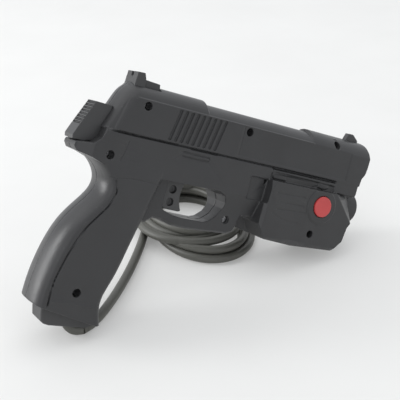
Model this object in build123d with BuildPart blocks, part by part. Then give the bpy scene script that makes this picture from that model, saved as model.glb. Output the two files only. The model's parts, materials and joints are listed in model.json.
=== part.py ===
from build123d import *

import os
from math import radians, tan

# Light gun controller for a home games console: a pistol-shaped moulded casing in two halves,
# a lens and a light sensor in the muzzle, a trigger with a microswitch, one round button on
# each side of the under-barrel housing, and a cord that leaves the butt and ends in a plug.
#
# Every piece of the gun is drawn in the gun's own axes (X to the muzzle, Y to the gun's left,
# Z up, mid-plane at Y = 0) and is then laid in its rest pose on the table, nose down and
# leaning to its left. The cord is drawn where it lies on the table. Millimetres throughout.

# ---- Driving dimensions -------------------------------------------------------------------
NOSE_DOWN = 23.2  # degrees the muzzle points below the horizontal at rest
LEAN_LEFT = 13.2  # degrees the gun leans towards its left side at rest
GUN_AT = (-5.84, 4.2, 57.07)  # where the gun's own origin stands in the resting frame

SLIDE_HALF = 14.0  # mid-plane to the flat side of the slide
FRAME_HALF = 13.6  # mid-plane to the side of the frame
GUARD_HALF = 9.0  # mid-plane to the side of the trigger guard
HOUSING_HALF = 19.5  # mid-plane to the side of the under-barrel housing
GRIP_HALF = 15.5  # mid-plane to the side of the grip
WALL = 2.3  # moulded wall thickness
SEAM_Z = 31.0  # height of the line between slide and frame
SHOULDER_Z = 52.0  # top edge of the slide's flat side

SLIDE_REAR_X = -82.0
HUMP_END_X = -16.5  # the slide's raised rear hump ends here
COLLAR_X = 67.0  # the thicker muzzle collar starts here
NOSE_X = 119.0
HUMP_TOP = 60.3
MID_TOP = 58.2
COLLAR_TOP = 60.0

SCREWS = (  # (x, z, mid-plane to the wall that the boss stands on) of each casing screw
    (-57.6, 48.4, 12),
    (15.2, 48.4, 12),
    (88.0, 54.2, 8),
    (-73.6, 16.9, 11.6),
    (16.4, -8.4, 8),
    (77.3, -6.7, 18),
    (-75, -63.8, 14),
)
SCREW_WELL_R = 2.5  # the open well above each screw's head
SCREW_HEAD_R = 2.2
SCREW_HEAD = 1.8
SCREW_SHANK_R = 1.25
SCREW_PILOT_R = 1.1  # the thread cuts into the left half's pilot hole
SCREW_SEAT = 4.0  # mid-plane to the face that the head pulls against
SCREW_PASS_R = 1.4
SCREW_REACH = 4.5  # how far the shank passes the mid-plane
BOSS_R = 4.2

BUTTON_AT = (81.3, 12.7)  # (x, z) of both side buttons
BUTTON_R = 6.9
BUTTON_GAP = 0.3
BUTTON_PROUD = 1.9  # stands this far out of the housing's side at rest
BEZEL_R = 11.2
BEZEL_PROUD = 0.7

TRIGGER_PIVOT = (-28.5, 16.5)  # (x, z)
TRIGGER_PIN_R = 1.5
TRIGGER_FIT = 0.06  # running clearance of the trigger on its pin
TRIGGER_HALF = 6.0
TRIGGER_SLOT_HALF = 6.6

LAMP_Z = 14.0  # height of the lamp-shaped round nose of the housing
LAMP_R = 11.0
LAMP_END_X = 121.0

LENS_X = 109.5  # rear of the lens
LENS_THICK = 3.0
LENS_Z = 46.0  # height of the optical axis
LENS_R = 7.5
MOUTH_R = 8.4  # the open muzzle in front of the lens
TUBE_R = 8.4
TUBE_WALL = 1.2

CORD_R = 3.0
CORD_Z = 3.05  # height of the cord's centre line on the table
CORD_CLEAR = 0.4  # gap round the cord in its channel under the butt
SLEEVE_X = -70.0  # the strain relief leaves the butt here
SLEEVE_TURN_Z = -90.8  # its two runs meet here
SLEEVE_BEND_R = 6.0
SLEEVE_ROOT_R = 4.0
SLEEVE_TIP_R = 3.3
COIL_TIERS = (  # of the coil: centre, outer half-axes, width of the bundle, lowest and highest z
    ((21.5, 60.5), (39.0, 53.0), 12.5, 0.0, 11.6),
    ((13.0, 66.5), (38.0, 45.0), 12.5, 7.0, 18.0),
)
COIL_ROUNDING = 3.0
PLUG_AT = (67.0, 84.0)  # rear end of the plug on the table
PLUG_CORD_Z = 3.6  # height of the cord where it enters the plug
TAIL_LENGTH = 24.0  # from inside the coil to the plug
PLUG_TURN = -30.0  # degrees from the table's X axis to the way that the plug points

# The cord's run from the strain relief to the coil, on the table.
CORD_ROUTE = (
    (-94.2, -19.6),
    (-89.9, -18.1),
    (-85.2, -14.9),
    (-79.2, -9.8),
    (-72.4, -3.0),
    (-63.6, 6.5),
    (-49.0, 24.2),
    (-36.2, 41.8),
    (-23.8, 60.5),
    (-11.0, 77.6),
)

SIDE = Plane.XZ  # local x is the gun's X, local y its Z, and the normal points to its right
REST = Location(GUN_AT, (0, 0, 0)) * Rotation(0, NOSE_DOWN, 0) * Rotation(-LEAN_LEFT, 0, 0)


# ---- Helpers ------------------------------------------------------------------------------
def closed(*points):
    """Adds the closed face through the points to the sketch being built."""
    with BuildLine() as edge:
        Polyline(*points, close=True)
    make_face(edge.edges())


def slab(outline, half, mode=Mode.ADD):
    """A slab of the outline, drawn in side view, as far as half to each side."""
    with BuildSketch(SIDE) as face:
        closed(*outline)
    extrude(face.sketch, amount=half, both=True, mode=mode)


def across(place, radius, near, far, mode=Mode.ADD):
    """A round bar across the gun at (x, z), from y = near to y = far."""
    with BuildSketch(SIDE.offset(-near)) as face:
        with Locations(place):
            Circle(radius)
    extrude(face.sketch, amount=near - far, mode=mode)


def box_between(low, high, mode=Mode.ADD):
    """A box from one corner to the other."""
    middle = tuple((a + b) / 2 for a, b in zip(low, high))
    with Locations(middle):
        Box(*(abs(b - a) for a, b in zip(low, high)), mode=mode)


def on_table(point):
    """A point on the table, in the gun's own axes."""
    return (REST.inverse() * Location(point)).position


def tangent_radii(points):
    """The arc radius at each corner: as large as its two runs allow."""
    radii = []
    for before, corner, after in zip(points, points[1:], points[2:]):
        into, out = Vector(*corner) - Vector(*before), Vector(*after) - Vector(*corner)
        half_turn = into.get_angle(out) / 2
        radii.append(0.45 * min(into.length, out.length) / tan(radians(half_turn)))
    return radii


def finish(piece, label, at=REST):
    """Labels a piece, lays it in the rest pose and writes it."""
    piece.part.label = label
    piece.part.move(at)
    export_step(piece.part, f"parts/{label}.step")


# ---- Outlines in side view, (x, z) ----------------------------------------------------------
BACKSTRAP = ((-90, 17), (-79.5, 11), (-73.2, 4), (-72.6, -3), (-77.8, -12), (-87.4, -25), (-94.4, -43),
             (-97.6, -60), (-98.8, -85))
SEAM = ((-80, 17), (-74, 11), (-68.6, 4), (-66.4, -3), (-69.8, -12), (-79.4, -25), (-87.3, -43),
        (-91.6, -60), (-92.2, -85))
FRONT_STRAP = ((-34, 17), (-41.4, -8), (-48.6, -36), (-53.4, -54), (-57.6, -70), (-56.6, -76), (-54.2, -85))
FRAME_OUTLINE = ((-79, SEAM_Z), (-80.5, 25.5), (-84.5, 21.6), (-93.5, 20.4), (-94, 18), (-92, 15.2),
                 (-84, 13.6), (-70, 9), (36, 9), (36, 22), (113, 22), (113.6, 25.5), (113.6, SEAM_Z))
GUARD_OUTLINE = ((-44, 11), (-46, -18.5), (-39, -18.5), (-34.5, -15.2), (-29, -15.4), (-22, -17.8),
                 (-10, -18.6), (20, -17.4), (24, -15.8), (25.3, -13), (25.3, -6.5), (27.5, -3.9), (36.2, -3.6),
                 (36.2, 11))
GUARD_OPENING = ((-30.5, 8.9), (4, 8.9), (9.4, 6.8), (11.7, 2.4), (11.4, -2), (8.6, -7.2), (4, -11),
                 (0, -12.3), (-16, -12), (-24, -11), (-30.5, -8.6))
HOUSING_OUTLINE = ((38.5, 23), (36, 17), (35.6, -6), (41, -15), (65, -16.6), (99.5, -15.4), (106.5, -8),
                   (108, 2), (110, 5), (110, 23))
HAMMER_OUTLINE = ((-86, 44.2), (-75.6, 43.8), (-75.2, 37.4), (-76.3, 31.8), (-78.7, 26), (-82.4, 22.6),
                  (-88, 21), (-95, 21), (-95.4, 23.2), (-91.4, 32.6))
BUTT_BELOW = ((-104, -72.2), (-58, -82.4), (-50, -82.4), (-50, -100), (-112, -100))


def height_line(points):
    """The smooth side-view curve through the points, as a function of height."""
    curve = Spline(*((x, 0, z) for x, z in points))

    def x_at(z):
        low, high = 0.0, 1.0
        for _ in range(30):
            middle = (low + high) / 2
            if curve.position_at(middle).Z > z:
                low = middle
            else:
                high = middle
        return curve.position_at(low).X

    return x_at


def grip_loft(inset):
    """The grip, or the hollow in it: rounded front, flat sides and a bulging backstrap."""
    rear_x, seam_x, front_x = (height_line(line) for line in (BACKSTRAP, SEAM, FRONT_STRAP))
    sections = []
    for step in range(17):
        z = 16.5 - step * 6.3
        half = GRIP_HALF - inset - 2.0 * max(0, (z + 12) / 29) ** 2
        front, seam, rear, corner = front_x(z) - inset, seam_x(z), rear_x(z) + inset, 4.5
        with BuildSketch(Plane.XY.offset(z)) as section:
            with BuildLine() as edge:
                Line((front, corner - half), (front, half - corner))
                RadiusArc((front, half - corner), (front - corner, half), -corner)
                Line((front - corner, half), (seam, half))
                EllipticalCenterArc((seam, 0), seam - rear, half, start_angle=90, arc_size=180)
                Line((seam, -half), (front - corner, -half))
                RadiusArc((front - corner, -half), (front, corner - half), -corner)
            make_face(edge.edges())
        sections.append(section.sketch.face())
    loft(sections)


def slide_arch(start, end, top, half, floor, shoulder, step_in):
    """A stretch of the slide, flat-sided with an arched top."""
    with BuildSketch(Plane.YZ.offset(start)) as section:
        with BuildLine() as edge:
            Polyline((half - step_in, shoulder), (half, shoulder), (half, floor), (-half, floor),
                     (-half, shoulder), (step_in - half, shoulder))
            ThreePointArc((step_in - half, shoulder), (0, top), (half - step_in, shoulder))
        make_face(edge.edges())
    extrude(section.sketch, amount=end - start)


# ---- The casing as one block ----------------------------------------------------------------
with BuildPart() as slide_block:
    slide_arch(SLIDE_REAR_X, HUMP_END_X, HUMP_TOP, SLIDE_HALF, SEAM_Z, SHOULDER_Z, 0.7)
    slide_arch(HUMP_END_X, COLLAR_X, MID_TOP, SLIDE_HALF, SEAM_Z, SHOULDER_Z, 0.7)
    slide_arch(COLLAR_X, NOSE_X, COLLAR_TOP, SLIDE_HALF, SEAM_Z, SHOULDER_Z - 1, 0.1)
    # The tail is rounded in plan and rakes back as it falls.
    with BuildSketch(Plane.XY.offset(SEAM_Z)):
        with BuildLine():
            Polyline((-72, -SLIDE_HALF), (130, -SLIDE_HALF), (130, SLIDE_HALF), (-72, SLIDE_HALF))
            EllipticalCenterArc((-72, 0), 9.5, SLIDE_HALF, start_angle=90, arc_size=180)
        make_face()
    extrude(amount=40, dir=(0.43, 0, 1), mode=Mode.INTERSECT)
    # The nose bulges a little in side view and is undercut below.
    with BuildSketch(SIDE):
        with BuildLine():
            Polyline((-90, SEAM_Z), (-90, 64), (114.6, 64), (114.6, COLLAR_TOP))
            ThreePointArc((114.6, COLLAR_TOP), (116.5, 59.3), (117.3, 57.4))
            ThreePointArc((117.3, 57.4), (118.0, 48.0), (117.0, 39.6))
            Polyline((117.0, 39.6), (114.8, 36.2), (114.4, SEAM_Z), (-90, SEAM_Z))
        make_face()
    extrude(amount=30, both=True, mode=Mode.INTERSECT)

with BuildPart() as grip_block:
    grip_loft(0)
    slab(BUTT_BELOW, 30, Mode.SUBTRACT)

with BuildPart() as housing_block:
    slab(HOUSING_OUTLINE, HOUSING_HALF)
    # The rear corners are chamfered, and a facet leans each front corner back to the muzzle.
    chamfer(housing_block.edges().filter_by(lambda e: abs(e.center().Y) > 19 and e.center().X < 38), 2.2)
    for side in (-1, 1):
        facet = Plane(origin=(100.1, side * HOUSING_HALF, 15), z_dir=(1, side * 1.6, 1))
        split(bisect_by=facet, keep=Keep.BOTTOM)
    with BuildSketch(Plane.YZ.offset(88)) as lamp:
        with Locations((0, LAMP_Z)):
            Circle(LAMP_R)
    extrude(lamp.sketch, amount=LAMP_END_X - 88)
    fillet(housing_block.faces().sort_by(Axis.X)[-1].edges(), 1.5)
    for side in (-1, 1):
        across(BUTTON_AT, BEZEL_R, side * 10, side * (HOUSING_HALF + BEZEL_PROUD))

with BuildPart() as guard_block:
    slab(GUARD_OUTLINE, GUARD_HALF)
    chamfer(guard_block.edges().filter_by(lambda e: abs(e.center().Y) > 8.9 and e.center().Z < -10), 1.6)
    slab(GUARD_OPENING, 30, Mode.SUBTRACT)

# The front leg of the guard widens to the frame above it.
with BuildPart() as guard_root:
    slab(((4, 9.1), (4, -3.9), (36.2, -3.6), (36.2, 9.1)), FRAME_HALF)
    with BuildSketch(Plane.YZ.offset(4)) as taper:
        closed((-FRAME_HALF, 9.1), (-GUARD_HALF, -3.9), (GUARD_HALF, -3.9), (FRAME_HALF, 9.1))
    extrude(taper.sketch, amount=33, mode=Mode.INTERSECT)

with BuildPart() as casing_block:
    add(slide_block.part)
    add(grip_block.part)
    add(housing_block.part)
    slab(FRAME_OUTLINE, FRAME_HALF)
    add(guard_block.part)
    add(guard_root.part)
    slab(GUARD_OPENING, 30, Mode.SUBTRACT)
    # The beavertail narrows to the rear.
    for side in (-1, 1):
        with BuildSketch(Plane.XY.offset(8)) as corner:
            closed((-100, side * 8), (-93, side * 8), (-84, side * FRAME_HALF), (-84, side * 30), (-100, side * 30))
        extrude(corner.sketch, amount=18, mode=Mode.SUBTRACT)
    # The line between slide and frame, deeper above the accessory rail.
    for side in (-1, 1):
        box_between((-90, side * 12.5, 30.2), (93, side * 30, 31.2), Mode.SUBTRACT)
        box_between((39, side * 12.4, 29.4), (93, side * 30, 31.2), Mode.SUBTRACT)
        box_between((39, side * 12.4, 22.9), (93, side * 30, 27.4), Mode.SUBTRACT)
        box_between((96.5, side * 11.5, 22.0), (130, side * 30, 23.2), Mode.SUBTRACT)
        # The slide's front panel and the square panel of the frame are sunk a little.
        box_between((10.6, side * 13.6, 32.6), (101, side * 30, 51.4), Mode.SUBTRACT)
        with BuildSketch(SIDE.offset(-side * 12.2)) as panel:
            closed((24.3, 22.6), (38.4, 22.4), (37.6, 7.8), (24.7, 7.6))
        extrude(panel.sketch, amount=-side * 10, mode=Mode.SUBTRACT)
    # Slanted grip serrations at the rear of the slide.
    for side in (-1, 1):
        with BuildSketch(SIDE.offset(-side * 12.7)) as grooves:
            for step in range(9):
                x = -35.5 + 4.0 * step
                closed((x - 1.0, 51.2), (x + 0.9, 51.2), (x - 2.9, 32.4), (x - 4.8, 32.4))
        extrude(grooves.sketch, amount=-side * 10, mode=Mode.SUBTRACT)
    # The seam line beside the backstrap.
    for side in (-1, 1):
        with BuildSketch(SIDE.offset(-side * 14.5)) as seam_line:
            with BuildLine() as seam_edge:
                Spline(*[(x + 1.4, z) for x, z in SEAM[2:8]], (-90.6, -73))
            trace(seam_edge.edges(), line_width=0.9)
        extrude(seam_line.sketch, amount=-side * 6, mode=Mode.SUBTRACT)
    # Seats for the sights, the muzzle bore and its rim.
    slab(((-66.2, 57), (-66.2, 70), (-48, 70), (-48, 57)), 7.05, Mode.SUBTRACT)
    slab(((101.4, 58), (101.4, 70), (113.2, 70), (113.2, 58)), 2.05, Mode.SUBTRACT)
    with BuildSketch(Plane.YZ.offset(91)) as bore:
        with Locations((0, LENS_Z)):
            Circle(MOUTH_R + 0.05)
    extrude(bore.sketch, amount=40, mode=Mode.SUBTRACT)
    # Button bores and screw wells.
    for side in (-1, 1):
        across(BUTTON_AT, BUTTON_R + BUTTON_GAP, side * 10, side * 30, Mode.SUBTRACT)
    slab(HAMMER_OUTLINE, 6.05, Mode.SUBTRACT)

# ---- The hollow inside it -------------------------------------------------------------------
with BuildPart() as hollow:
    with BuildSketch(Plane.YZ.offset(-66)) as slide_hollow:
        closed((11.2, 28), (11.2, 50.6), (5.5, 55.4), (-5.5, 55.4), (-11.2, 50.6), (-11.2, 28))
    extrude(slide_hollow.sketch, amount=158)
    slab(((-75, 28.4), (-68, 12.5), (-44, 11.4), (33.6, 11.4), (33.6, 24.6), (110, 24.6), (110, 28.4)), 11.2)
    slab(((41, 20.6), (38.6, 15.5), (38.2, -5), (42.6, -12.6), (65, -14.2), (98.4, -13), (103.6, -7.4),
          (103.6, 6), (90, 20.6)), HOUSING_HALF - WALL)
    box_between((45, -8, 18), (84, 8, 26))
    with BuildSketch(Plane.YZ.offset(80)) as lamp_hollow:
        with Locations((0, LAMP_Z)):
            Circle(LAMP_R - WALL)
    extrude(lamp_hollow.sketch, amount=LAMP_END_X - 80 - 3)
    grip_loft(WALL)
    slab(((-104, -69), (-56, -79.6), (-50, -100), (-112, -100)), 30, Mode.SUBTRACT)
    slab(((-104, 15.5), (-68, 15.5), (-68, 30), (-104, 30)), 30, Mode.SUBTRACT)

with BuildPart() as trigger_slot:
    slab(((-42.5, -10.3), (-30, -10.3), (-30, 8.8), (-17, 8.8), (-17, 23), (-42.5, 23)), TRIGGER_SLOT_HALF)

with BuildPart() as butt_slot:
    slab(((-89, -66), (-89, -80), (-64, -86), (-64, -66)), 7.5)

# The channel that the cord takes under the toe of the butt.
cord_points = [(x, y, CORD_Z) for x, y in CORD_ROUTE]
route_in_gun = [on_table(point) for point in cord_points]
with BuildPart() as cord_channel:
    with BuildLine() as channel_path:
        FilletPolyline(*route_in_gun[:5], radius=tangent_radii(route_in_gun[:5]))
    with BuildSketch(Plane(origin=channel_path.line @ 0, z_dir=channel_path.line % 0)) as channel_section:
        Circle(CORD_R + CORD_CLEAR)
    sweep(channel_section.sketch, path=channel_path.line)


def casing_half(side):
    """One half of the casing, hollowed, with its screw bosses; side is -1 right, 1 left."""
    keep = Keep.BOTTOM if side > 0 else Keep.TOP
    with BuildPart() as half:
        add(casing_block.part)
        add(hollow.part, mode=Mode.SUBTRACT)
        split(bisect_by=Plane.XZ, keep=keep)
        for x, z, root in SCREWS:
            across((x, z), BOSS_R, 0, side * root)
        # The pin bosses of the trigger and the seat of its spring.
        across(TRIGGER_PIVOT, 3.6, side * TRIGGER_SLOT_HALF, side * 12)
        box_between((-45, 0, -9.4), (-42.5, side * 13.5, -1))
        add(trigger_slot.part, mode=Mode.SUBTRACT)
        add(butt_slot.part, mode=Mode.SUBTRACT)
        add(cord_channel.part, mode=Mode.SUBTRACT)
        across(TRIGGER_PIVOT, TRIGGER_PIN_R, 0, side * 11, Mode.SUBTRACT)
        for x, z, _ in SCREWS:
            if side < 0:
                across((x, z), SCREW_PASS_R, 1, side * 30, Mode.SUBTRACT)
                across((x, z), SCREW_WELL_R, side * SCREW_SEAT, side * 30, Mode.SUBTRACT)
            else:
                across((x, z), SCREW_PILOT_R, 0, side * (SCREW_REACH + 1), Mode.SUBTRACT)
    return half


casing_right = casing_half(-1)
casing_left = casing_half(1)

with BuildPart() as casing_screws:
    for x, z, _ in SCREWS:
        across((x, z), SCREW_HEAD_R, -SCREW_SEAT, -SCREW_SEAT - SCREW_HEAD)
        across((x, z), SCREW_SHANK_R, -SCREW_SEAT, SCREW_REACH)
        # The cross recess of the head.
        for long, high in ((2.6, 0.7), (0.7, 2.6)):
            box_between((x - long / 2, -SCREW_SEAT - SCREW_HEAD - 1, z - high / 2),
                        (x + long / 2, -SCREW_SEAT - SCREW_HEAD + 1, z + high / 2), Mode.SUBTRACT)

with BuildPart() as hammer:
    slab(HAMMER_OUTLINE, 6)

with BuildPart() as rear_sight:
    slab(((-66.2, 57), (-65.4, 66.2), (-60.8, 66.4), (-59.4, 62.9), (-59.4, 57)), 7)
    slab(((-59.4, 57), (-59.4, 62.9), (-48.8, 62.3), (-48, 57)), 5)
    box_between((-70, -1.4, 63.4), (-58, 1.4, 70), Mode.SUBTRACT)

with BuildPart() as front_sight:
    slab(((101.4, 58), (103.9, 64.5), (108, 64.7), (113.2, 61), (113.2, 58)), 2)


# ---- Optics and electronics -----------------------------------------------------------------
def turned(start, radius, thick, bore=0.0, mode=Mode.ADD):
    """A disc or ring about the optical axis."""
    with BuildSketch(Plane.YZ.offset(start)) as ring:
        with Locations((0, LENS_Z)):
            Circle(radius)
            if bore:
                Circle(bore, mode=Mode.SUBTRACT)
    extrude(ring.sketch, amount=thick, mode=mode)


with BuildPart() as sensor_tube:
    turned(94, TUBE_R, LENS_X + LENS_THICK - 94, TUBE_R - TUBE_WALL)
    turned(LENS_X, LENS_R + 0.03, LENS_THICK, mode=Mode.SUBTRACT)

with BuildPart() as lens:
    turned(LENS_X, LENS_R, 1.6)
    with BuildSketch(Plane.XZ.offset(0)) as dome:
        with BuildLine() as dome_edge:
            Line((LENS_X + 1.6, LENS_Z), (LENS_X + 1.6, LENS_Z + LENS_R))
            ThreePointArc((LENS_X + 1.6, LENS_Z + LENS_R), (LENS_X + 2.6, LENS_Z + 4), (LENS_X + 3, LENS_Z))
            Line((LENS_X + 3, LENS_Z), (LENS_X + 1.6, LENS_Z))
        make_face(dome_edge.edges())
    revolve(dome.sketch, axis=Axis((0, 0, LENS_Z), (1, 0, 0)))

with BuildPart() as lens_ring:
    turned(LENS_X + LENS_THICK, MOUTH_R, 2.0, 6.6)

with BuildPart() as sensor_board:
    turned(92.4, TUBE_R, 1.6)

with BuildPart() as photodiode:
    turned(94, 2.4, 3.2)
    turned(94, 2.9, 0.6)

with BuildPart() as main_board:
    box_between((-48, 3, 33.5), (8, 4.6, 50))

with BuildPart() as main_chip:
    box_between((-30, -0.6, 36.8), (-8, 2.8, 44.4))
    for step in range(8):
        for z in (36.0, 45.2):
            x = -27.9 + 2.54 * step
            box_between((x - 0.3, 1.0, z - 0.8), (x + 0.3, 3.0, z + 0.8))

with BuildPart() as cord_socket:
    box_between((-46.5, -2.5, 35), (-38.5, 3, 43))

with BuildPart() as button_board:
    box_between((69.5, -0.8, 1.5), (94, 0.8, 20.4))


def lead(route, radius, corner):
    """A wire bundle along straight runs joined by tangent arcs."""
    with BuildPart() as wire:
        with BuildLine() as path:
            FilletPolyline(*route, radius=corner)
        with BuildSketch(Plane(origin=path.line @ 0, z_dir=path.line % 0)) as core:
            Circle(radius)
        sweep(core.sketch, path=path.line)
    return wire


sensor_lead = lead(((92.4, 3, 42), (84, 3, 42), (66, 4, 39.5), (40, 4.6, 40.5), (16, 3.8, 41), (8, 3.8, 41)), 0.9, 8)
button_lead = lead(((75, 0, 20.4), (75, 0, 28), (62, -1, 34), (30, -1, 36), (16, 3.8, 36), (8, 3.8, 36)), 0.9, 4)
switch_lead = lead(((-45, 0, 9), (-45, 0, 17), (-42, -3.0, 25), (-36, 3.8, 29.5), (-36, 3.8, 33.5)), 0.8, 2)


# ---- Trigger --------------------------------------------------------------------------------
with BuildPart() as trigger:
    slab(((-33, 19), (-24.5, 19), (-20.8, 12), (-17.2, 8.4), (-18.6, 3.5), (-18.2, -2.8), (-15.8, -8.4),
          (-17.5, -9), (-27, -8.6), (-33, -7)), TRIGGER_HALF)
    # A rib at the back works the switch.
    slab(((-36.2, 3.4), (-36.2, 6.6), (-33, 8), (-33, 2)), 2)
    across(TRIGGER_PIVOT, TRIGGER_PIN_R + TRIGGER_FIT, -10, 10, Mode.SUBTRACT)
    for side in (-1, 1):
        for hole in ((-24.4, 3.9), (-24.5, -4.0)):
            across(hole, 2.5, side * 3.4, side * 10, Mode.SUBTRACT)

with BuildPart() as trigger_pin:
    across(TRIGGER_PIVOT, TRIGGER_PIN_R, -10.8, 10.8)

with BuildPart() as trigger_switch:
    box_between((-50, -3.1, 0.8), (-40, 3.1, 9))
    box_between((-40, -1.2, 4.2), (-38.2, 1.2, 5.8))

with BuildPart() as trigger_spring:
    with BuildLine() as coil_path:
        Helix(pitch=1.62, height=8.1, radius=2.4, center=(-33.9, 0, -5), direction=(-1, 0, 0))
    with BuildSketch(Plane(origin=coil_path.line @ 0, z_dir=coil_path.line % 0)) as wire_section:
        Circle(0.4)
    sweep(wire_section.sketch, path=coil_path.line, is_frenet=True)


# ---- Side buttons ---------------------------------------------------------------------------
def side_button(side):
    """A round button with the flange that keeps it in and the stem that presses its dome."""
    face = HOUSING_HALF + BUTTON_PROUD
    with BuildPart() as button:
        across(BUTTON_AT, BUTTON_R, side * 16, side * face)
        outer = button.faces().sort_by(Axis.Y)[-1 if side > 0 else 0]
        fillet(outer.edges(), 0.8)
        across(BUTTON_AT, BUTTON_R + 1.0, side * 15.4, side * 17)
        box_between((70, side * 15, 20), (95, side * 17.1, 24), Mode.SUBTRACT)
        across(BUTTON_AT, 2.6, side * 6.2, side * 16)
    return button


def rubber_dome(side):
    """The hollow rubber dome under a button's stem, standing on the board."""
    x, z = BUTTON_AT
    with BuildPart() as dome_part:
        with BuildSketch(Plane.XY.offset(z)) as outline:
            with BuildLine() as dome_edge:
                Polyline((x, side * 6.2), (x + 2.6, side * 6.2), (x + 3.6, side * 3), (x + 5, side * 1.8),
                         (x + 5, side * 0.8), (x + 3.8, side * 0.8), (x + 2.6, side * 2.6),
                         (x + 1.8, side * 4.4), (x, side * 4.4), close=True)
            make_face(dome_edge.edges())
        revolve(outline.sketch, axis=Axis((x, 0, z), (0, 1, 0)))
    return dome_part


button_right = side_button(-1)
button_left = side_button(1)
button_dome_right = rubber_dome(-1)
button_dome_left = rubber_dome(1)


# ---- Butt, strain relief and cord -----------------------------------------------------------
with BuildPart() as strain_relief:
    with BuildSketch(Plane.XY.offset(-76)) as neck:
        with Locations((SLEEVE_X, 0)):
            Circle(4.6)
    extrude(neck.sketch, amount=-10)
    with BuildLine() as sleeve_path:
        FilletPolyline((SLEEVE_X, 0, -80), (SLEEVE_X, 0, SLEEVE_TURN_Z), route_in_gun[0], radius=SLEEVE_BEND_R)
    with BuildSketch(Plane(origin=sleeve_path.line @ 0, z_dir=sleeve_path.line % 0)) as thick_end:
        Circle(SLEEVE_ROOT_R)
    with BuildSketch(Plane(origin=sleeve_path.line @ 1, z_dir=sleeve_path.line % 1)) as thin_end:
        Circle(SLEEVE_TIP_R)
    sweep([thick_end.sketch.face(), thin_end.sketch.face()], path=sleeve_path.line, multisection=True)
    # It lies flat on the table.
    table = Plane(origin=on_table((0, 0, 0)), z_dir=on_table((0, 0, 1)) - on_table((0, 0, 0)))
    split(bisect_by=table, keep=Keep.TOP)

with BuildPart() as magazine_base:
    slab(((-90.8, -75.15), (-90.4, -79), (-89.2, -84.4), (-87.2, -85.7), (-84, -86.2), (-60.4, -86.1),
          (-58.2, -84.8), (-57.6, -82.51)), 8)
    chamfer(magazine_base.edges().filter_by(lambda e: abs(e.center().Y) > 7.9 and e.center().X < -86.5), 0.8)
    slab(((-88.8, -70), (-88.8, -76), (-64.2, -82), (-64.2, -70)), 7.4)
    box_between((-85.5, -5.5, -77), (-66, 5.5, -60), Mode.SUBTRACT)
    add(cord_channel.part, mode=Mode.SUBTRACT)
    add(strain_relief.part, mode=Mode.SUBTRACT)

cord_inner = lead(((-70, 0, -76), (-70, 0, -72), (-66.5, 0, -63), (-66.5, 0, -40), (-60, 0, -14),
                   (-56, 0, 12), (-55, 0, 32), (-51, 0, 39), (-46.5, 0, 39)), 2.6, 5)


cord_radii = tangent_radii(cord_points)
with BuildPart() as cord_coil:
    for centre, (half_x, half_y), width, low, high in COIL_TIERS:
        with BuildPart(mode=Mode.PRIVATE) as tier:
            with BuildSketch(Plane.XY.offset(low)) as ring:
                with Locations(centre):
                    Ellipse(half_x, half_y)
                    Ellipse(half_x - width, half_y - width, mode=Mode.SUBTRACT)
            extrude(ring.sketch, amount=high - low)
            fillet(tier.edges(), COIL_ROUNDING)
        add(tier.part)

with BuildPart() as cord_tube:
    with BuildLine() as cord_path:
        FilletPolyline(*cord_points, radius=cord_radii)
    with BuildSketch(Plane(origin=cord_path.line @ 0, z_dir=cord_path.line % 0)) as cord_section:
        Circle(CORD_R)
    sweep(cord_section.sketch, path=cord_path.line)
    print("cord radii", [round(r, 1) for r in cord_radii], "volume ratio",
          cord_tube.part.volume / (cord_section.sketch.area * sum(e.length for e in cord_path.edges())))
    add(cord_coil.part, mode=Mode.SUBTRACT)

plug_way = Plane(origin=(*PLUG_AT, 0)).rotated((0, 0, PLUG_TURN))
with BuildPart() as cord_tail:
    with BuildSketch(Plane(origin=(*PLUG_AT, PLUG_CORD_Z), z_dir=-plug_way.x_dir)) as tail_section:
        Circle(CORD_R)
    extrude(tail_section.sketch, amount=TAIL_LENGTH)
    add(cord_coil.part, mode=Mode.SUBTRACT)

with BuildPart() as plug_body:
    with BuildSketch(plug_way) as plug_outline:
        closed((0, -3.4), (8, -3.8), (14, -11), (34, -11), (34, 11), (14, 11), (8, 3.8), (0, 3.4))
    extrude(plug_outline.sketch, amount=13)
    fillet(plug_body.edges().filter_by(Axis.Z), 1.5)
    chamfer(plug_body.faces().sort_by(Axis.Z)[-1].edges(), 1.5)

with BuildPart() as plug_shell:
    with BuildSketch(Plane(origin=plug_way.from_local_coords((34, 0, 6.5)), x_dir=plug_way.y_dir,
                           z_dir=plug_way.x_dir)) as shell_face:
        RectangleRounded(19, 8, 2)
    extrude(shell_face.sketch, amount=9)
    with BuildSketch(Plane(origin=plug_way.from_local_coords((36, 0, 6.5)), x_dir=plug_way.y_dir,
                           z_dir=plug_way.x_dir)) as shell_hole:
        RectangleRounded(16.6, 5.6, 1)
    extrude(shell_hole.sketch, amount=10, mode=Mode.SUBTRACT)

with BuildPart() as plug_contacts:
    for step in range(9):
        with BuildSketch(Plane(origin=plug_way.from_local_coords((36, (step - 4) * 1.75, 6.5)),
                               z_dir=plug_way.x_dir)) as pin:
            Circle(0.5)
        extrude(pin.sketch, amount=6)

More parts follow.
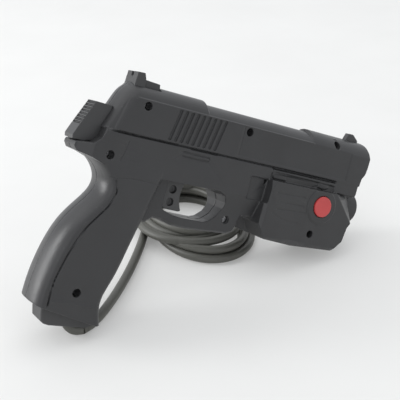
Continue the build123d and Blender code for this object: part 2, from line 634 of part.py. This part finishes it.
# ---- Laid in the rest pose and written --------------------------------------------------------
os.makedirs("parts", exist_ok=True)
for name in sorted(os.listdir("parts")):
    os.remove(f"parts/{name}")
GUN_PIECES = {
    "casing_right": casing_right,
    "casing_left": casing_left,
    "casing_screws": casing_screws,
    "hammer": hammer,
    "rear_sight": rear_sight,
    "front_sight": front_sight,
    "sensor_tube": sensor_tube,
    "lens": lens,
    "lens_ring": lens_ring,
    "sensor_board": sensor_board,
    "photodiode": photodiode,
    "main_board": main_board,
    "main_chip": main_chip,
    "cord_socket": cord_socket,
    "button_board": button_board,
    "sensor_lead": sensor_lead,
    "button_lead": button_lead,
    "switch_lead": switch_lead,
    "cord_inner": cord_inner,
    "trigger": trigger,
    "trigger_pin": trigger_pin,
    "trigger_switch": trigger_switch,
    "trigger_spring": trigger_spring,
    "button_right": button_right,
    "button_left": button_left,
    "button_dome_right": button_dome_right,
    "button_dome_left": button_dome_left,
    "magazine_base": magazine_base,
    "strain_relief": strain_relief,
}
TABLE_PIECES = {
    "cord_tube": cord_tube,
    "cord_coil": cord_coil,
    "cord_tail": cord_tail,
    "plug_body": plug_body,
    "plug_shell": plug_shell,
    "plug_contacts": plug_contacts,
}
for label, piece in GUN_PIECES.items():
    finish(piece, label)
for label, piece in TABLE_PIECES.items():
    finish(piece, label, Location())
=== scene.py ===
import json
import math

import bpy
import numpy as np
from mathutils import Matrix, Vector

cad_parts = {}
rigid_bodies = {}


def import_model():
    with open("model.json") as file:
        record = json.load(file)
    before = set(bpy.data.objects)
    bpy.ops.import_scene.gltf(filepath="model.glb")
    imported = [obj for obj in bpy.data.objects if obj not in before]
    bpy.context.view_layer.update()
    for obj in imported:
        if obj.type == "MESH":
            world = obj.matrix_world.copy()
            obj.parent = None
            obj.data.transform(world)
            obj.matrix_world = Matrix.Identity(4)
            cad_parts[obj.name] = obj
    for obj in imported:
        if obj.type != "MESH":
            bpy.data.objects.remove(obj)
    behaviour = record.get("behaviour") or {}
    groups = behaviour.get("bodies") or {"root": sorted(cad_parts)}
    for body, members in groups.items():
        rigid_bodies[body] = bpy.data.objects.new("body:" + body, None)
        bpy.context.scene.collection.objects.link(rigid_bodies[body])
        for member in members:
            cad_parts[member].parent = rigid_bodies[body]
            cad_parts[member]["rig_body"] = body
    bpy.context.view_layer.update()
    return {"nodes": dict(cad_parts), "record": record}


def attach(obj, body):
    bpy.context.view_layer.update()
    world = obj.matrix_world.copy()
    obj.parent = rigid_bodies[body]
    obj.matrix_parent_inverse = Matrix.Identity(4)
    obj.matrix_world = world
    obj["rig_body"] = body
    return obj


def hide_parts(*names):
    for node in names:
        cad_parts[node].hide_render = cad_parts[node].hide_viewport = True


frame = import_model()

# Light gun controller. Lengths in the gun's own axes are in millimetres (X to the muzzle, Y to the
# gun's left, Z up, mid-plane at Y = 0); GUN takes them to the row frame, in metres.
MM = 0.001
GUN_AT = Vector((-5.84, 4.2, 57.07))
NOSE_DOWN = math.radians(23.2)
LEAN_LEFT = math.radians(13.2)
GUN = (Matrix.Scale(MM, 4) @ Matrix.Translation(GUN_AT)
       @ Matrix.Rotation(NOSE_DOWN, 4, "Y") @ Matrix.Rotation(-LEAN_LEFT, 4, "X"))
nodes = frame["nodes"]
scene = bpy.context.scene


# ---- Camera and light -------------------------------------------------------------------------
def add_camera():
    """The camera, to the right of the gun and a little above it."""
    camera = bpy.data.objects.new("camera", bpy.data.cameras.new("camera"))
    scene.collection.objects.link(camera)
    right = Vector((0.89959, -0.43660, -0.00481))
    back = Vector((-0.38437, -0.79720, 0.46562))
    up = back.cross(right)
    turn = Matrix((right, up, back)).transposed().to_4x4()
    camera.matrix_world = Matrix.Translation(Vector((-0.19612, -0.39040, 0.28753))) @ turn
    camera.data.lens = 71.1
    camera.data.clip_start = 0.01
    scene.camera = camera


def add_light(name, place, aim, size, power):
    """A soft rectangular light at place, turned to aim."""
    light = bpy.data.objects.new(name, bpy.data.lights.new(name, "AREA"))
    scene.collection.objects.link(light)
    light.data.shape = "RECTANGLE"
    light.data.size, light.data.size_y = size
    light.data.energy = power
    light.location = place
    light.rotation_euler = (Vector(aim) - Vector(place)).to_track_quat("-Z", "Y").to_euler()


def add_studio():
    """Soft light from above and from a window, a pale world and the table."""
    add_light("overhead", (0.1, 0.4, 1.35), (0, 0.02, 0.04), (2.4, 1.8), 8.5)
    add_light("window", (-1.35, 0.75, 0.55), (0, 0, 0.07), (0.5, 1.1), 15)
    add_light("side_fill", (-1.0, -0.75, 0.75), (0, 0, 0.06), (0.9, 0.9), 1.6)
    world = bpy.data.worlds.new("studio")
    world.use_nodes = True
    world.node_tree.nodes["Background"].inputs["Color"].default_value = (0.95, 0.97, 1.0, 1)
    world.node_tree.nodes["Background"].inputs["Strength"].default_value = 0.85
    scene.world = world
    scene.view_settings.view_transform = "Standard"
    mesh = bpy.data.meshes.new("floor")
    mesh.from_pydata([(-4, -4, 0), (4, -4, 0), (4, 4, 0), (-4, 4, 0)], [], [(0, 1, 2, 3)])
    floor = bpy.data.objects.new("floor", mesh)
    floor.location.z = -0.00002
    scene.collection.objects.link(floor)
    floor.data.materials.append(paper("floor_paper"))


# ---- Materials --------------------------------------------------------------------------------
class Nodes:
    """A new material's node tree, with short ways to add and join nodes."""

    def __init__(self, name):
        self.material = bpy.data.materials.new(name)
        self.material.use_nodes = True
        self.tree = self.material.node_tree
        self.shader = self.tree.nodes["Principled BSDF"]
        self.place = self.add("ShaderNodeTexCoord").outputs["Object"]

    def add(self, kind, **inputs):
        """A new node, with its inputs set by name, a low line for each space."""
        node = self.tree.nodes.new(kind)
        for name, value in inputs.items():
            node.inputs[name.replace("_", " ")].default_value = value
        return node

    def join(self, source, target):
        """Link an output to an input."""
        self.tree.links.new(source, target)

    def noise(self, scale, detail=3.0, roughness=0.55):
        """Noise of that many features to the metre."""
        node = self.add("ShaderNodeTexNoise", Scale=scale, Detail=detail, Roughness=roughness)
        self.join(self.place, node.inputs["Vector"])
        return node.outputs["Fac"]

    def spread(self, source, low, high, dark, light):
        """A colour between dark and light as source goes from low to high."""
        ramp = self.add("ShaderNodeValToRGB")
        ramp.color_ramp.elements[0].position = low
        ramp.color_ramp.elements[1].position = high
        ramp.color_ramp.elements[0].color = (*dark, 1)
        ramp.color_ramp.elements[1].color = (*light, 1)
        self.join(source, ramp.inputs["Fac"])
        return ramp.outputs["Color"]

    def over(self, amount, under, top):
        """Colour top laid over colour under by amount."""
        mix = self.tree.nodes.new("ShaderNodeMix")
        mix.data_type = "RGBA"
        self.join(amount, mix.inputs["Factor"])
        self.join(under, mix.inputs[6])
        mix.inputs[7].default_value = (*top, 1)
        return mix.outputs[2]

    def bump(self, *layers):
        """Bumps in layers of (height source, distance in metres)."""
        normal = None
        for source, distance in layers:
            node = self.add("ShaderNodeBump", Strength=1.0, Distance=distance)
            self.join(source, node.inputs["Height"])
            if normal:
                self.join(normal, node.inputs["Normal"])
            normal = node.outputs["Normal"]
        self.join(normal, self.shader.inputs["Normal"])

    def edges(self, low=0.53, high=0.6):
        """White on convex edges: a painted highlight."""
        pointy = self.add("ShaderNodeNewGeometry").outputs["Pointiness"]
        return self.spread(pointy, low, high, (0, 0, 0), (1, 1, 1))


def shade(colour, factor):
    """The colour made lighter or darker by factor."""
    return tuple(min(1.0, part * factor) for part in colour)


def moulded(name, colour, rough=0.5, grain=0.000012, edge_highlight=0.3, specular=0.5):
    """Spark-eroded moulded plastic: fine grain, faint mottling, handling marks, and convex edges made pale
    by a painted highlight.
    """
    n = Nodes(name)
    mottled = n.spread(n.noise(38, 4), 0.35, 0.7, shade(colour, 0.93), shade(colour, 1.08))
    speckled = n.over(n.spread(n.noise(2600, 1), 0.52, 0.75, (0, 0, 0), (0.35, 0.35, 0.35)),
                      mottled, shade(colour, 1.35))
    # Convex edges painted paler: a painted highlight.
    edge = n.edges()
    soft = n.tree.nodes.new("ShaderNodeMath")
    soft.operation = "MULTIPLY"
    soft.inputs[1].default_value = edge_highlight
    n.join(edge, soft.inputs[0])
    n.join(n.over(soft.outputs[0], speckled, shade(colour, 1.8)), n.shader.inputs["Base Color"])
    handled = n.spread(n.noise(22, 5, 0.65), 0.3, 0.72, (rough - 0.07,) * 3, (rough + 0.07,) * 3)
    n.join(handled, n.shader.inputs["Roughness"])
    n.shader.inputs["Specular IOR Level"].default_value = specular
    n.bump((n.noise(1900, 2), grain), (n.noise(260, 2), 0.00002))
    return n.material


def polished(name, colour, rough=0.25, coat=0.0, metal=0.0):
    """A smooth surface with fine scuffs: buttons, metal, solder mask."""
    n = Nodes(name)
    tone = n.spread(n.noise(60, 3), 0.3, 0.75, shade(colour, 0.92), shade(colour, 1.08))
    # Convex edges painted lighter: a painted highlight.
    n.join(n.over(n.edges(0.54, 0.62), tone, shade(colour, 1.25)), n.shader.inputs["Base Color"])
    n.join(n.spread(n.noise(150, 6, 0.7), 0.35, 0.75, (rough,) * 3, (rough + 0.06,) * 3),
           n.shader.inputs["Roughness"])
    n.shader.inputs["Metallic"].default_value = metal
    n.shader.inputs["Coat Weight"].default_value = coat
    n.shader.inputs["Coat Roughness"].default_value = 0.15
    n.bump((n.noise(420, 3), 0.000012))
    return n.material


def paper(name):
    """Matt white paper."""
    n = Nodes(name)
    n.join(n.spread(n.noise(9, 3), 0.3, 0.7, (0.55, 0.55, 0.54), (0.57, 0.57, 0.56)),
           n.shader.inputs["Base Color"])
    n.shader.inputs["Roughness"].default_value = 0.75
    n.shader.inputs["Specular IOR Level"].default_value = 0.2
    # The table glows a little, so that shadows stay pale.
    n.shader.inputs["Emission Color"].default_value = (1.0, 1.0, 0.99, 1)
    n.shader.inputs["Emission Strength"].default_value = 0.22
    n.bump((n.noise(700, 3), 0.00002))
    return n.material


def clear(name):
    """Clear moulded plastic."""
    n = Nodes(name)
    n.shader.inputs["Base Color"].default_value = (0.86, 0.9, 0.9, 1)
    n.shader.inputs["Transmission Weight"].default_value = 0.9
    n.shader.inputs["IOR"].default_value = 1.49
    n.join(n.spread(n.noise(90, 3), 0.4, 0.8, (0.02,) * 3, (0.07,) * 3), n.shader.inputs["Roughness"])
    n.bump((n.noise(120, 2), 0.000004))
    return n.material


MATERIALS = {
    "body_plastic": moulded("body_plastic", (0.034, 0.034, 0.0352), rough=0.36, specular=0.40),
    "hammer_plastic": moulded("hammer_plastic", (0.037, 0.037, 0.038), rough=0.36),
    "sight_plastic": moulded("sight_plastic", (0.04, 0.04, 0.041)),
    "base_plastic": moulded("base_plastic", (0.045, 0.045, 0.046)),
    "trigger_plastic": moulded("trigger_plastic", (0.044, 0.044, 0.045), rough=0.36, grain=0.000005),
    "button_red": polished("button_red", (0.50, 0.048, 0.048), rough=0.34, coat=0.15),
    "cord_rubber": moulded("cord_rubber", (0.080, 0.080, 0.070), rough=0.46, grain=0.000004, edge_highlight=0.1),
    "lens_clear": clear("lens_clear"),
    "ring_plastic": moulded("ring_plastic", (0.03, 0.03, 0.03), rough=0.4),
    "tube_plastic": moulded("tube_plastic", (0.02, 0.02, 0.02)),
    "photodiode_dark": polished("photodiode_dark", (0.03, 0.02, 0.03), rough=0.15, coat=0.4),
    "board_green": polished("board_green", (0.04, 0.17, 0.07), rough=0.3),
    "chip_black": moulded("chip_black", (0.02, 0.02, 0.02)),
    "socket_plastic": moulded("socket_plastic", (0.62, 0.6, 0.52)),
    "switch_plastic": moulded("switch_plastic", (0.03, 0.03, 0.035)),
    "dome_rubber": moulded("dome_rubber", (0.3, 0.3, 0.3), grain=0.000004),
    "wire_grey": moulded("wire_grey", (0.25, 0.25, 0.25), grain=0.000004),
    "screw_steel": polished("screw_steel", (0.5, 0.5, 0.51), rough=0.3, metal=1.0),
    "spring_steel": polished("spring_steel", (0.55, 0.55, 0.55), rough=0.25, metal=1.0),
    "plug_plastic": moulded("plug_plastic", (0.055, 0.055, 0.055)),
    "plug_metal": polished("plug_metal", (0.6, 0.6, 0.6), rough=0.28, metal=1.0),
    "contact_brass": polished("contact_brass", (0.7, 0.55, 0.28), rough=0.25, metal=1.0),
}

SLOT_OF = {entry["node"]: entry["material_slot"] for entry in frame["record"]["subparts"]}


def dress(piece, slot):
    """Give a piece the material of that slot alone."""
    piece.data.materials.clear()
    piece.data.materials.append(MATERIALS[slot])


# ---- Cord ---------------------------------------------------------------------------------------
# The lead's route on the table, from the strain relief to the coil.
CORD_ROUTE = (
    (-95.1, -20.0),
    (-89.9, -18.1),
    (-85.2, -14.9),
    (-79.2, -9.8),
    (-72.4, -3.0),
    (-63.6, 6.5),
    (-49.0, 24.2),
    (-36.2, 41.8),
    (-23.8, 60.5),
)
CORD_R = 3.0
CORD_Z = 3.05
PLUG_AT = Vector((67.0, 84.0))
PLUG_TURN = math.radians(-30)
PLUG_CORD_Z = 3.6
COIL_START = math.radians(166)
COIL_STEPS = 18  # control points to a turn
# The loose turns: (turns wound so far, centre x, centre y, half-axis x, half-axis y, height, tilt)
COIL = (
    (0.00, 21.5, 61.0, 35.0, 49.5, CORD_Z, 0.0),
    (0.80, 20.5, 61.5, 34.5, 49.0, CORD_Z, 0.0),
    (1.15, 20.0, 62.0, 28.2, 44.5, CORD_Z, 0.0),
    (1.85, 20.0, 63.0, 28.4, 45.0, CORD_Z, 0.0),
    (2.15, 20.0, 63.0, 31.6, 47.4, 8.4, 0.0),
    (2.80, 19.0, 63.0, 31.4, 47.0, 8.4, 0.0),
    (3.20, 16.5, 65.5, 32.5, 45.5, 11.0, 1.4),
    (3.80, 16.0, 67.0, 33.0, 44.0, 11.6, 1.8),
    (4.20, 12.0, 69.6, 35.0, 41.4, 11.2, 3.2),
    (4.80, 12.0, 70.0, 35.0, 41.6, 11.2, 3.2),
    (5.20, 12.0, 72.0, 30.5, 37.5, 12.2, 1.6),
    (5.80, 12.0, 72.5, 29.6, 38.0, 12.4, 1.6),
    (6.20, 14.5, 70.5, 29.0, 39.6, 16.2, 0.8),
    (6.80, 15.0, 70.5, 29.0, 39.8, 16.8, 0.4),
    (7.24, 15.5, 69.0, 28.0, 38.0, 17.2, 0.0),
)
COIL_TILT_AT = -0.5  # the direction, in radians, in which the tilted turns rise
COIL_SLACK = 0.01  # how far the turns waver, as a share of their size
# Off the top turn, down over the others and into the plug: (behind the plug, to its left, height)
COIL_EXIT = (
    (41, -5.0, 17.0),
    (32, -2.2, 15.2),
    (22, -0.4, 10.4),
    (14, 0.0, 6.2),
    (7, 0.0, 4.2),
    (-1, 0.0, PLUG_CORD_Z),
)


def coil_points():
    """The turns, wound clockwise: two on the table and the rest slumped over them."""
    turn_at, *facts = (np.array(column) for column in zip(*COIL))
    points = []
    for step in range(1, int(COIL[-1][0] * COIL_STEPS) + 1):
        turns = step / COIL_STEPS
        mid_x, mid_y, half_x, half_y, height, tilt = (
            float(np.interp(turns, turn_at, fact)) for fact in facts)
        angle = COIL_START - turns * math.tau
        size = 1.0 + COIL_SLACK * math.sin(2.3 * angle + 0.7 * turns)
        points.append((mid_x + half_x * size * math.cos(angle),
                       mid_y + half_y * size * math.sin(angle),
                       height + tilt * math.cos(angle - COIL_TILT_AT)))
    return points


def tube_along(name, points, radius, slot):
    """A round tube on a smooth curve steered by points, in millimetres of the row frame."""
    curve = bpy.data.curves.new(name, "CURVE")
    curve.dimensions = "3D"
    spline = curve.splines.new("NURBS")
    spline.points.add(len(points) - 1)
    for control, point in zip(spline.points, points):
        control.co = (*(Vector(point) * MM), 1)
    spline.order_u = 3
    spline.use_endpoint_u = True
    spline.resolution_u = 8
    curve.bevel_depth = radius * MM
    curve.bevel_resolution = 5
    curve.use_fill_caps = True
    piece = bpy.data.objects.new(name, curve)
    scene.collection.objects.link(piece)
    dress(piece, slot)
    return piece


def curve_length(piece):
    """The length of a curve piece's centre line, in metres."""
    bare = piece.copy()
    bare.data = piece.data.copy()
    bare.data.bevel_depth = 0
    scene.collection.objects.link(bare)
    line = bpy.data.meshes.new_from_object(bare.evaluated_get(bpy.context.evaluated_depsgraph_get()))
    places = [vertex.co for vertex in line.vertices]
    bpy.data.objects.remove(bare)
    return sum((b - a).length for a, b in zip(places, places[1:]))


def add_cord():
    """One cord from the strain relief, through the coil and into the plug."""
    way = Vector((math.cos(PLUG_TURN), math.sin(PLUG_TURN)))
    left = Vector((-way.y, way.x))
    route = [(x, y, CORD_Z) for x, y in CORD_ROUTE] + coil_points()
    for behind, aside, height in COIL_EXIT:
        place = PLUG_AT - way * behind + left * aside
        route.append((place.x, place.y, height))
    cord = tube_along("cord", route, CORD_R, "cord_rubber")
    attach(cord, "frame")
    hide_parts("cord_tube", "cord_coil", "cord_tail")
    length = curve_length(cord)
    print("cord length", round(length, 3))


# ---- Skins: the CAD shapes with rounded edges and moulded detail ---------------------------------
def in_gun_axes(node):
    """A copy of a CAD node's mesh, in the gun's axes and millimetres."""
    mesh = nodes[node].data.copy()
    mesh.transform(GUN.inverted())
    return mesh


def run_modifier(piece, kind, **settings):
    """Apply one modifier of that kind."""
    modifier = piece.modifiers.new(kind.lower(), kind)
    for key, value in settings.items():
        setattr(modifier, key, value)
    with bpy.context.temp_override(object=piece, active_object=piece, selected_objects=[piece]):
        bpy.ops.object.modifier_apply(modifier=modifier.name)


# ---- Moulded detail of the casing, in side view (x, z), the same on both sides -------------------
BUTTON_AT = (81.3, 12.7)
BEZEL_R = 12.4


def bezel_point(degrees):
    """A point on the line round the rear of the button."""
    turn = math.radians(degrees)
    return BUTTON_AT[0] + BEZEL_R * math.cos(turn), BUTTON_AT[1] + BEZEL_R * math.sin(turn)


BEZEL_LINE = [bezel_point(degrees) for degrees in range(100, 280, 12)]
SEAM = (  # beside the backstrap
    (-67.2, 4.0),
    (-65.0, -3.0),
    (-68.4, -12.0),
    (-78.0, -25.0),
    (-85.9, -43.0),
    (-89.9, -58.0),
    (-90.6, -73.0),
)
GROOVES = (  # (route, half-width, depth), with a depth below 0 for a line that stands proud
    (SEAM, 0.8, 0.7),
    (((-71.5, 31.0), (-62.8, 30.8)), 1.2, 0.9),  # the heavy stretches of the line under the slide
    (((-62.2, 30.7), (-33.0, 30.9)), 1.1, 0.9),
    (((-22.6, 30.4), (-4.2, 30.4)), 1.1, 0.9),
    (((-28.1, 27.6), (-9.2, 27.4)), 0.55, 0.8),  # round the slide stop
    (((-28.0, 25.0), (-9.2, 24.8), (-8.6, 26.2), (-9.2, 27.4)), 0.55, 0.8),
    (((-64.1, 26.5), (-65.0, 21.0), (-66.9, 14.5)), 0.5, 0.6),  # the frame's rear panel
    (((-70.4, 4.6), (-57.4, 6.1), (-41.0, 5.8)), 0.6, 0.45),
    (((39.5, 30.4), (93.0, 30.0)), 0.9, 1.2),  # the accessory rail
    (((41.8, 27.9), (93.0, 27.2)), 0.5, 0.7),
    (((39.6, 31.0), (39.9, 26.6)), 0.5, 0.7),
    (((43.1, 15.7), (66.0, 16.3)), 0.8, 0.5),  # shallow lines on the housing
    (((46.4, 10.5), (66.6, 10.5)), 0.8, 0.5),
    (((45.7, 5.6), (68.5, 6.4)), 0.8, 0.5),
    (((42.4, 2.7), (50.2, 0.0), (56.2, -1.1), (64.0, -0.9)), 0.7, 0.3),
    (((34.4, 16.4), (39.2, 15.9)), 0.5, 0.4),
    (BEZEL_LINE, 0.6, 0.35),
    (((-91.3, -70.0), (-78.7, -69.9), (-66.1, -70.9), (-58.5, -71.7)), 0.8, -0.4),  # the lip at the butt
)
RAISED = (  # (outline, soft edge, height)
    (((-28.6, 27.0), (-9.9, 26.8), (-9.9, 25.5), (-28.6, 25.6)), 0.5, 0.5),
    (((39.3, 27.6), (51.0, 28.0), (52.5, 23.2), (41.3, 23.4)), 0.7, 1.1),
    (((79.2, 27.9), (88.3, 27.8), (88.6, 24.9), (84.7, 23.1), (79.1, 23.9)), 0.7, 1.1),
)
HOUSING_HALF = 19.5
HOUSING_REAR_X = 33.0
HOUSING_FOOT = ((36.0, -13.7), (60.0, -12.4), (97.0, -13.0), (108.0, -13.0))  # top of its lower chamfer
SLIDE_FOOT_Z = 31.0
SLIDE_HALF = 14.0
SLIDE_SHOULDER_HALF = 13.3  # its flat side turns into the arched top here
ARCH_R = 14.8
ARCH_Z = 45.5  # centre of the arch
PANEL_X = 8.9  # the bevel at the start of the slide's front panel
PANEL_END_X = 10.9
TAIL_X = -72.0  # the slide's tail is half an ellipse in plan behind this
TAIL_LONG = 9.5
TAIL_RAKE = 0.43  # the tail's lean to the front as it rises
TAIL_STEP = ((32.4, -74.1), (51.8, -68.5))  # (z, x) where the slide's flat side ends at the rear
DOME_FRONT_X = -63.5
DOME_FOOT_Z = 49.0
HAMMER_RIDGES = (29.5, 44.0)  # their lowest and highest z
RIDGE_PITCH = 1.8
RIDGE_DEPTH = 0.5


def distance_to(x, z, route):
    """How far each place is from the route, in side view."""
    nearest = np.full(len(x), np.inf)
    for (ax, az), (bx, bz) in zip(route, route[1:]):
        along = ((x - ax) * (bx - ax) + (z - az) * (bz - az)) / ((bx - ax) ** 2 + (bz - az) ** 2)
        along = np.clip(along, 0, 1)
        nearest = np.minimum(nearest, np.hypot(x - ax - along * (bx - ax), z - az - along * (bz - az)))
    return nearest


def inside(x, z, outline):
    """Which places are inside the closed outline, in side view."""
    within = np.zeros(len(x), bool)
    for (ax, az), (bx, bz) in zip(outline, outline[1:] + outline[:1]):
        crosses = (az > z) != (bz > z)
        within ^= crosses & (x < (bx - ax) * (z - az) / ((bz - az) or 1) + ax)
    return within


def soft_step(t):
    """0 to 1 with level ends."""
    t = np.clip(t, 0, 1)
    return t * t * (3 - 2 * t)


def casing_detail(places, normals):
    """Grooves, raised pads, bevels and the lower chamfer on the casing's outer sides."""
    side = np.sign(places[:, 1])
    outer = (normals[:, 1] * side > 0.3) & (np.abs(places[:, 1]) > 10.5)
    x, z = places[outer, 0], places[outer, 2]
    sink = np.zeros(len(x))
    for route, half, depth in GROOVES:
        sink += depth * soft_step(1 - distance_to(x, z, route) / half)
    for outline, edge, height in RAISED:
        sink -= height * inside(x, z, outline) * soft_step(distance_to(x, z, outline + outline[:1]) / edge)
    # The slide's front panel starts with a bevel, and its flat side ends in a step before the tail.
    on_slide = (z > 32.6) & (z < 51.4)
    sink += 0.4 * on_slide * (x < PANEL_END_X) * np.clip((x - PANEL_X) / 1.8, 0, 1)
    step_x = np.interp(z, *zip(*TAIL_STEP))
    flat = np.clip((np.abs(places[outer, 1]) - 11.0) / 2.2, 0, 1)
    sink += 0.8 * flat * (z > 31.4) * np.clip((step_x - x) / 0.6, 0, 1)
    places[outer, 1] -= side[outer] * sink
    # The housing's lower edges are chamfered.
    foot = np.interp(places[:, 0], *zip(*HOUSING_FOOT))
    limit = HOUSING_HALF - 0.6 * np.maximum(0, foot - places[:, 2])
    edge = (places[:, 0] > HOUSING_REAR_X) & (places[:, 2] < 0) & (np.abs(places[:, 1]) > limit)
    places[edge, 1] = side[edge] * limit[edge]
    return round_tail(places)


def round_tail(places):
    """Draw the slide's square tail in to a dome behind the rear sight."""
    x, y, z = places.T
    across = np.clip(np.abs(y) / SLIDE_HALF, 0, 1)
    rear = TAIL_X - TAIL_LONG * np.sqrt(1 - across ** 2) + TAIL_RAKE * (z - SLIDE_FOOT_Z)
    top = ARCH_Z + np.sqrt(ARCH_R ** 2 - np.minimum(np.abs(y), SLIDE_SHOULDER_HALF) ** 2)
    reach = np.maximum(DOME_FRONT_X - rear, 0.5)
    back = (DOME_FRONT_X - x) / reach
    up = (z - DOME_FOOT_Z) / (top - DOME_FOOT_Z)
    tail = (back > 0) & (up > 0)
    draw = np.maximum(back, up)[tail] / np.cbrt(back[tail] ** 3 + up[tail] ** 3)
    places[tail, 0] = DOME_FRONT_X - (back * reach)[tail] * draw
    places[tail, 2] = DOME_FOOT_Z + (z[tail] - DOME_FOOT_Z) * draw
    return places


def hammer_detail(places, normals):
    """Ridges across the upper part of the hammer's rear face."""
    low, high = HAMMER_RIDGES
    rear = (normals[:, 0] < -0.5) & (places[:, 2] > low) & (places[:, 2] < high)
    places[rear, 0] += RIDGE_DEPTH * (1 - np.cos((places[rear, 2] - low) / RIDGE_PITCH * math.tau))
    return places


def skin(node, voxel, smooth=3, faces=60000, sculpt=None):
    """A piece that stands for a CAD node: its shape with softened edges, then sculpted."""
    mesh = in_gun_axes(node)
    piece = bpy.data.objects.new(node + "_skin", mesh)
    scene.collection.objects.link(piece)
    run_modifier(piece, "REMESH", mode="VOXEL", voxel_size=voxel * 1.0,
                 use_smooth_shade=True)
    run_modifier(piece, "SMOOTH", factor=0.5, iterations=smooth)
    if sculpt:
        count = len(piece.data.vertices)
        places = np.empty(count * 3)
        normals = np.empty(count * 3)
        piece.data.vertices.foreach_get("co", places)
        piece.data.vertices.foreach_get("normal", normals)
        places = sculpt(places.reshape(-1, 3), normals.reshape(-1, 3))
        piece.data.vertices.foreach_set("co", places.ravel())
        piece.data.update()
    count = len(piece.data.polygons) * 2
    if count > faces:
        run_modifier(piece, "DECIMATE", ratio=faces / count)
    piece.data.transform(GUN)
    for polygon in piece.data.polygons:
        polygon.use_smooth = True
    slot = SLOT_OF[node]
    dress(piece, slot)
    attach(piece, nodes[node]["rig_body"])
    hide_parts(node)


add_camera()
add_cord()
add_studio()

for node, piece in nodes.items():
    dress(piece, SLOT_OF[node])

for side in ("right", "left"):
    skin("casing_" + side, 0.42, smooth=2, faces=180000, sculpt=casing_detail)
skin("hammer", 0.22, sculpt=hammer_detail)
skin("rear_sight", 0.3, faces=20000)
skin("front_sight", 0.25, smooth=12, faces=12000)
skin("magazine_base", 0.35)
skin("trigger", 0.3, faces=30000)
